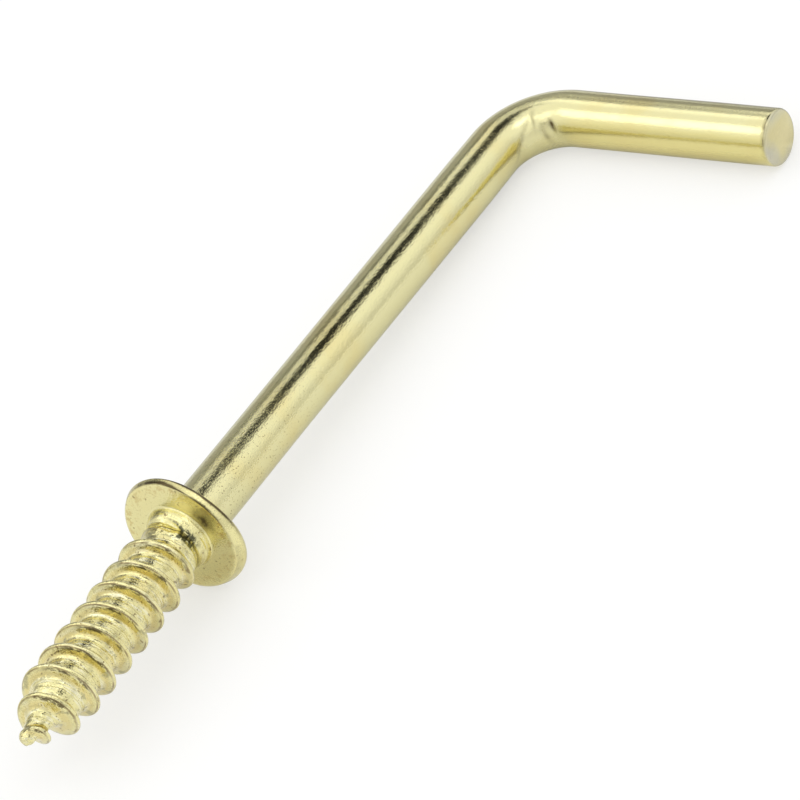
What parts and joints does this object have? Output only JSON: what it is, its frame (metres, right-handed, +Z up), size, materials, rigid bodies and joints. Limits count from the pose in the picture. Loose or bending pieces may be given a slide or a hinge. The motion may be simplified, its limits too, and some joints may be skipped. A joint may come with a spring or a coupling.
{
  "type": "l-shaped screw hook",
  "caption": "Square-bent wire hook with a pressed round collar and a right-hand wood screw thread with a gimlet point; a ring, loop or cord hangs on its arm.",
  "frame": {"origin": "centre of the footprint of the lying hook, on the ground", "axes": "+X along the shank towards the screw's point, +Y along the arm towards its cut end, +Z up"},
  "size_m": [0.0634, 0.0224, 0.0083],
  "materials": {
    "plated_wire": "bright plated, lightly rippled"
  },
  "bodies": {
    "root": {"screw_hook": "plated_wire"}
  },
  "joints": []
}
